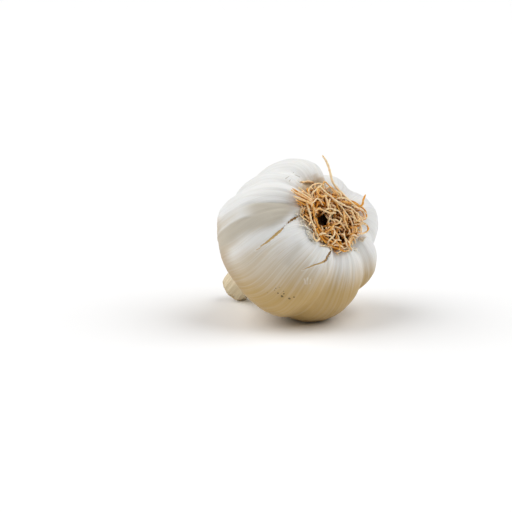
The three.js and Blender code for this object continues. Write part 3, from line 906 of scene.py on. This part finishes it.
# roots that stand out of the nest, in the same way, each with its thickness
STRAYS = [
    ([(5.4, 112, -1), (8.4, 104, 5.4), (10.4, 84, 7.8), (9.6, 54, 8.2), (10.9, 27, 8.6), (12.9, 14.5, 9.4),
      (16.1, 12.3, 10.0), (19.2, 11.7, 10.2), (21.9, 10.3, 10.2), (23.9, 7.9, 10.2)], 0.46),
    ([(5.8, 82, -1), (9.5, 85, 6.0), (13.9, 86.9, 8.6), (15.9, 80.3, 9.2), (18.6, 75.9, 9.4)], 0.50),
    ([(5.8, 60, -1), (10.6, 67, 7.0), (14.3, 91, 8.2), (15.2, 101, 8.2), (14.0, 110, 7.8),
      (8.6, 104, 7.4)], 0.36),
    ([(5.8, 66, -1), (9.0, 72, 6.4), (13.2, 92, 7.6), (14.4, 104, 7.6), (12.8, 112, 7.2),
      (8.0, 110, 6.8)], 0.34),
    ([(5.8, 116, -1), (11.0, 118, 6.8), (15.0, 120, 7.6), (15.4, 129, 7.4), (12.6, 141, 7.0),
      (8.4, 146, 6.6)], 0.34),
]
FLAT_ROOT = [(359, 0.185), (356, 0.204), (349, 0.216), (342, 0.219)]  # it lies on the skin at these places
SHEAF_ROOTS = 8
SHEAF_BEARING = 300.5
SHEAF_SPREAD = 15  # degrees
SHEAF_REACH = 23.6
SHEAF_HEIGHT = 6.9
SHEAF_LIFT = 1.5  # of every second root in it


def stray_lines():
    """Lines of the roots on top of the nest, those that stand out of it, and a sheaf over the cloves. Each
    has its thickness, and some have a tint and how thick their tip is."""
    draw = np.random.default_rng(29)
    lines = []
    for points in LAID_ROOTS:
        distance, bearing, height = points[0]
        near = min(distance, 5.6)
        foot = [(near, bearing - 8, -0.8), (0.5 * (distance + near), bearing - 5, height * 0.6)]
        route = np.array([polar(*point) for point in foot + points])
        line = catmull(route, np.linspace(0, 1, 7 * len(route)))
        line[10:] += np.cumsum(draw.normal(size=(len(line) - 10, 3)) * 0.035, axis=0)
        lines.append((line, draw.uniform(0.32, 0.42)))
    for points, thick in STRAYS:
        route = np.array([polar(*point) for point in points])
        lines.append((catmull(route, np.linspace(0, 1, 6 * len(points))), thick))
    route = on_skin(FLAT_ROOT, 0.5)
    route[:, 2] = PLATE_FACE - route[:, 2]
    lines.append((catmull(route, np.linspace(0, 1, 18)), 0.56, 0.62, 0.5))
    for k in range(SHEAF_ROOTS):
        apart = SHEAF_SPREAD * (k / (SHEAF_ROOTS - 1) - 0.5)
        bearing = math.radians(SHEAF_BEARING + apart + draw.uniform(-0.6, 0.6))
        upper = k % 2  # it is paler too
        reach = SHEAF_REACH * draw.uniform(0.80, 1.0)
        sway = draw.uniform(0.03, 0.09)
        height = SHEAF_HEIGHT + SHEAF_LIFT * upper + draw.uniform(0, 0.8)
        route = np.array([
            (r * math.cos(bearing + turn), r * math.sin(bearing + turn), h) for r, turn, h in (
                (5.6, 0.12, -0.8), (9.0, 0.05, height * 0.35), (13.0, 0.0, height * 0.92),
                (16.5, sway * 0.5, height * 0.98), (reach, sway, height * draw.uniform(0.94, 1.02)))])
        thick = draw.uniform(0.36, 0.46)
        tint = 0.02 + 0.42 * upper + draw.uniform(0, 0.25)
        lines.append((catmull(route, np.linspace(0, 1, 22)), thick, tint, 0.7))
    return lines


def nest_top(lines):
    """The nest's highest root over each square millimetre round the axis."""
    top = np.zeros((NEST_CELLS, NEST_CELLS))
    for line, *_ in lines:
        cells = np.clip(np.round(line[:, :2]).astype(int) + NEST_CELLS // 2, 0, NEST_CELLS - 1)
        np.maximum.at(top, (cells[:, 0], cells[:, 1]), line[:, 2])
    return top


def root_mesh(name, lines, material, seed):
    """Tubes along lines, thinner at the ends, a little uneven, each with a tint and a depth in the nest that
    the material paints as shade.
    """
    draw = np.random.default_rng(seed)
    top = nest_top(lines)
    points, faces, tints, shares, deeps = [], [], [], [], []
    for line, thick, *given in lines:
        way = np.gradient(line, axis=0)
        way /= np.linalg.norm(way, axis=1, keepdims=True) + 1e-9
        side = np.cross(way[0], [0.3, 0.5, 0.8])
        first = len(points)
        tint, tip = given or (draw.uniform(), 0.6)
        ripple, flat = draw.uniform(0, 6.28), draw.uniform(0.72, 1.0)
        for i, (here, ahead) in enumerate(zip(line, way)):
            side = side - ahead * (side @ ahead)
            side /= np.linalg.norm(side)
            other = np.cross(ahead, side)
            share = i / (len(line) - 1)
            taper = min(1.0, tip + 2.6 * (1 - share), 0.8 + 2.0 * share)
            size = thick * taper * (1 + 0.10 * math.sin(i * 1.3 + ripple) + 0.06 * draw.normal())
            cell = np.clip(np.round(here[:2]).astype(int) + NEST_CELLS // 2, 1, NEST_CELLS - 2)
            above = top[cell[0] - 1:cell[0] + 2, cell[1] - 1:cell[1] + 2].mean()
            for k in range(ROOT_SIDES):
                angle = 2 * math.pi * k / ROOT_SIDES
                points.append(here + size * (math.cos(angle) * side + flat * math.sin(angle) * other))
                tints.append(tint)
                shares.append(share)
                # how deep the point lies under the nest's top, which the material paints as shade
                deeps.append(min(max((above - here[2]) / 4.0, 0.0), 1.0))
        last = len(points) - ROOT_SIDES
        faces += bands(first, len(line), ROOT_SIDES)
        faces.append(tuple(first + k for k in reversed(range(ROOT_SIDES))))
        faces.append(tuple(last + k for k in range(ROOT_SIDES)))
    points = np.array(points)
    points[:, 2] = PLATE_FACE - points[:, 2]
    faces = [tuple(reversed(face)) for face in faces]
    return mesh_piece(name, laid(points), faces, material, {"tint": tints, "share": shares, "deep": deeps})


ROOT_CREAM = (1.0, 0.78, 0.50, 1)
ROOT_GOLD = (1.0, 0.58, 0.17, 1)
ROOT_BROWN = (0.74, 0.31, 0.025, 1)
# the last two colours are painted shade for roots deep in the nest
ROOT_SHADE = (0.36, 0.12, 0.004, 1)
ROOT_DEEP_SHADE = (0.11, 0.036, 0.004, 1)


def root_material():
    material, shader, start = new_material(
        "dried_root", Roughness=0.62, Specular_IOR_Level=0.22, Subsurface_Weight=0.15,
        Subsurface_Radius=(1.0, 0.6, 0.3), Subsurface_Scale=0.0006)
    position = start.place()
    fibre = start.noise(position, 1400.0, 3.0, 0.6)
    tint = start.value("tint")
    share = start.value("share")
    deep = start.value("deep")
    mottle = start.noise(position, 300.0, 2.0, 0.5)
    # painted shade: roots that lie deeper under others, and the first part of each root near the plate, are
    # painted browner and then nearly black; cream stays on the roots at the nest's top
    pale = (tint * 0.9 + mottle * 0.5 - deep * 0.9).ramp(0.12, 0.80)
    colour = pale.tint(ROOT_BROWN, ROOT_GOLD)
    colour = ((tint * 0.8 + mottle * 0.4 - deep * 1.7).ramp(0.36, 0.74) * 0.9).tint(colour, ROOT_CREAM)
    colour = ((share.ramp(0.86, 1.0) + 0.15 * tint) * (1 - deep) * 0.7).tint(colour, ROOT_CREAM)
    colour = ((1 - share.ramp(0.02, 0.30)) * 0.75).tint(colour, ROOT_SHADE)
    colour = (deep.ramp(0.08, 0.50) * 0.9).tint(colour, ROOT_SHADE)
    colour = (deep.ramp(0.55, 1.05) * 0.85).tint(colour, ROOT_DEEP_SHADE)
    colour = ((1 - fibre.ramp(0.30, 0.46)) * 0.35).tint(colour, ROOT_BROWN)
    plug(colour, shader, "Base Color")
    plug(start.bump(0.5, 0.0002, fibre), shader, "Normal")
    return material


dried = root_material()
for name, lines, seed in (("matted_roots", nest_lines(), 41), ("loose_roots", stray_lines(), 43)):
    piece = root_mesh(name, lines, dried, seed)
    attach(piece, "root")
    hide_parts("root_tuft")

# The torn collar
# Scraps of the outermost skins, torn off round the root plate when the bulb was pulled. They stand up
# between the roots and the cloves as small, curled, brittle flakes.
COLLAR_FLAKES = 70
# bearing from and to, share of the outline from and to, and part of the flakes
COLLAR_STRETCHES = [
    (240, 290, 0.172, 0.212, 0.50), (128, 190, 0.165, 0.195, 0.16), (0, 360, 0.13, 0.172, 0.34),
]
LOWER_SPLIT_BEARING = SPLITS[1][0][1][0]  # where the lower split starts, no flake hides it
FLAKE_THICKNESS = 0.08
FLAKE_ROWS, FLAKE_COLUMNS = 9, 7
FLAKE_WHITE = (0.97, 0.93, 0.84, 1)


def flake(draw, place, outward, around, up, length, width, curl):
    """Points and faces of one thin, curled scrap with a ragged edge."""
    across, lengthwise = FLAKE_COLUMNS, FLAKE_ROWS
    grid = np.zeros((2, lengthwise, across, 3))
    ragged = draw.uniform(0.72, 1.0, across)
    for i in range(lengthwise):
        for j in range(across):
            u, v = j / (across - 1) - 0.5, i / (lengthwise - 1)
            high = length * v * ragged[j]
            wide = width * u * (1 - 0.45 * v)
            bow = curl * (v * v) + 0.35 * width * (u * u) * 2
            point = place + up * high + around * wide + outward * (bow + 0.12 * draw.normal() * v)
            grid[0, i, j] = point
            grid[1, i, j] = point + outward * FLAKE_THICKNESS

    def index(side, i, j):
        return side * lengthwise * across + i * across + j

    faces = []
    for i in range(lengthwise - 1):
        for j in range(across - 1):
            faces.append((index(0, i, j), index(0, i, j + 1), index(0, i + 1, j + 1), index(0, i + 1, j)))
            faces.append((index(1, i, j), index(1, i + 1, j), index(1, i + 1, j + 1), index(1, i, j + 1)))
    rim = [(0, j) for j in range(across)]
    rim += [(i, across - 1) for i in range(1, lengthwise)]
    rim += [(lengthwise - 1, j) for j in range(across - 2, -1, -1)]
    rim += [(i, 0) for i in range(lengthwise - 2, 0, -1)]
    for a, b in zip(rim, rim[1:] + rim[:1]):
        faces.append((index(0, *b), index(0, *a), index(1, *a), index(1, *b)))
    return grid.reshape(-1, 3), faces


def collar():
    """Points and faces of all the flakes, and each point's place in its flake's own pattern."""
    draw = np.random.default_rng(53)
    points, faces, grain = [], [], []
    total = 0
    stretches = draw.choice(len(COLLAR_STRETCHES), COLLAR_FLAKES, p=[row[4] for row in COLLAR_STRETCHES])
    for k in range(COLLAR_FLAKES):
        begin, end, lowest, highest, _ = COLLAR_STRETCHES[stretches[k]]
        bearing = draw.uniform(begin, end)
        share = draw.uniform(lowest, highest)
        if abs(bearing - LOWER_SPLIT_BEARING) < 6:
            share -= 0.03
        here, ahead = on_skin([(bearing, share), (bearing, share + 0.01)])
        beside = on_skin([(bearing + 2, share)])[0]
        along_skin = (ahead - here) / np.linalg.norm(ahead - here)
        around = (beside - here) / np.linalg.norm(beside - here)
        normal = np.cross(along_skin, around)
        normal *= -np.sign(normal[2]) if abs(normal[2]) > 1e-6 else 1  # out of the root end
        stand = draw.uniform(0.02, 0.32)
        up = along_skin * (1 - stand) + normal * stand
        up /= np.linalg.norm(up)
        outward = np.cross(around, up)
        outward *= 1 if outward @ normal > 0 else -1
        some, sides = flake(
            draw, here - normal * 0.1, outward, around, up,
            draw.uniform(1.1, 2.6), draw.uniform(1.0, 2.2), draw.uniform(-0.1, 0.7))
        points.append(some)
        faces += [tuple(total + v for v in face) for face in sides]
        total += len(some)
        grain.append(np.repeat([[bearing * 0.6, k * 3.1, 0]], len(some), axis=0) + some * 0.8)
    return laid(np.concatenate(points)), faces, np.concatenate(grain)


def flake_material():
    material, shader, start = new_material(
        "torn_skin", Roughness=0.6, Specular_IOR_Level=0.3, Subsurface_Weight=0.35,
        Subsurface_Radius=(1.0, 0.8, 0.6), Subsurface_Scale=0.002)
    fine = start.noise(start.vector("grain"), 1.2, 3.0, 0.6)
    plug(fine.ramp(0.34, 0.60).tint(PAPER_CREAM, FLAKE_WHITE), shader, "Base Color")
    plug(start.bump(0.2, 0.0002, fine), shader, "Normal")
    return material


collar_points, collar_faces, collar_grain = collar()
torn = mesh_piece("torn_collar", collar_points, collar_faces, flake_material(), {"grain": collar_grain})
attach(torn, "root")
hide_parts("bulb")

# The surface, the light and the camera
# A plain pale surface under the bulb, a broad soft light from high on each side, and a dim surround. The
# camera looks down on the bulb from its root end's right, as the photographer's did.
PHOTO_SIDE = 512
PIXELS_PER_MM = 2.5
CAMERA_DISTANCE = 0.6  # metres
SENSOR_WIDTH = 36
CAMERA_AZIMUTH = 43.0
CAMERA_ELEVATION = 13.0
BULB_PIXEL = (297.5, 240.0)  # where the bulb's middle is in the photograph
# each soft light: the way towards it, its spread in degrees, and its strength
SOFT_LIGHTS = {"right": ((0.62, 0.65, 1.1), 60.0, 1.9), "left": ((-0.64, -0.52, 0.85), 60.0, 2.15)}
SURROUND_STRENGTH = 0.15
SURFACE_HALF = 6.0  # metres
SURFACE_PALE = (0.95, 0.95, 0.95, 1)


def stage():
    surface = bpy.data.meshes.new("surface")
    corners = [(x * SURFACE_HALF, y * SURFACE_HALF, 0) for x, y in ((-1, -1), (1, -1), (1, 1), (-1, 1))]
    surface.from_pydata(corners, [], [(0, 1, 2, 3)])
    material, _, _ = new_material("surface", Roughness=0.7, Specular_IOR_Level=0.1, Base_Color=SURFACE_PALE)
    surface.materials.append(material)
    floor = placed("surface", surface)


def soft_light(name, way, spread, strength):
    """A broad soft light from one way. Its strength is the same all over the surface."""
    lamp = bpy.data.lights.new(name, "SUN")
    lamp.energy = strength
    lamp.angle = math.radians(spread)
    light = placed(name, lamp)
    light.rotation_mode = "QUATERNION"
    light.rotation_quaternion = (-Vector(way)).to_track_quat("-Z", "Y")


def surround():
    world = bpy.data.worlds.new("world")
    bpy.context.scene.world = world
    world.use_nodes = True
    background = world.node_tree.nodes["Background"]
    background.inputs["Color"].default_value = (1.0, 1.0, 1.0, 1)
    background.inputs["Strength"].default_value = SURROUND_STRENGTH


def camera():
    azimuth, elevation = math.radians(CAMERA_AZIMUTH), math.radians(CAMERA_ELEVATION)
    level = math.cos(elevation)
    back = Vector((math.sin(azimuth) * level, -math.cos(azimuth) * level, math.sin(elevation)))
    right = Vector((math.cos(azimuth), math.sin(azimuth), 0))
    up = back.cross(right)
    lens = bpy.data.cameras.new("camera")
    lens.sensor_width = SENSOR_WIDTH
    lens.lens = SENSOR_WIDTH * CAMERA_DISTANCE * 1000 * PIXELS_PER_MM / PHOTO_SIDE
    lens.clip_start, lens.clip_end = 0.01, 50
    viewer = placed("camera", lens)
    aside = (BULB_PIXEL[0] - PHOTO_SIDE / 2) / PIXELS_PER_MM / 1000
    above = (PHOTO_SIDE / 2 - BULB_PIXEL[1]) / PIXELS_PER_MM / 1000
    middle = Vector(MIDDLE / 1000)
    viewer.location = middle + back * CAMERA_DISTANCE
    viewer.rotation_mode = "QUATERNION"
    aim = middle - right * aside - up * above - viewer.location
    viewer.rotation_quaternion = aim.to_track_quat("-Z", "Y")
    bpy.context.scene.camera = viewer


stage()
for name, (way, spread, strength) in SOFT_LIGHTS.items():
    soft_light(name, way, spread, strength)
surround()
bpy.context.scene.view_settings.view_transform = "Standard"
camera()
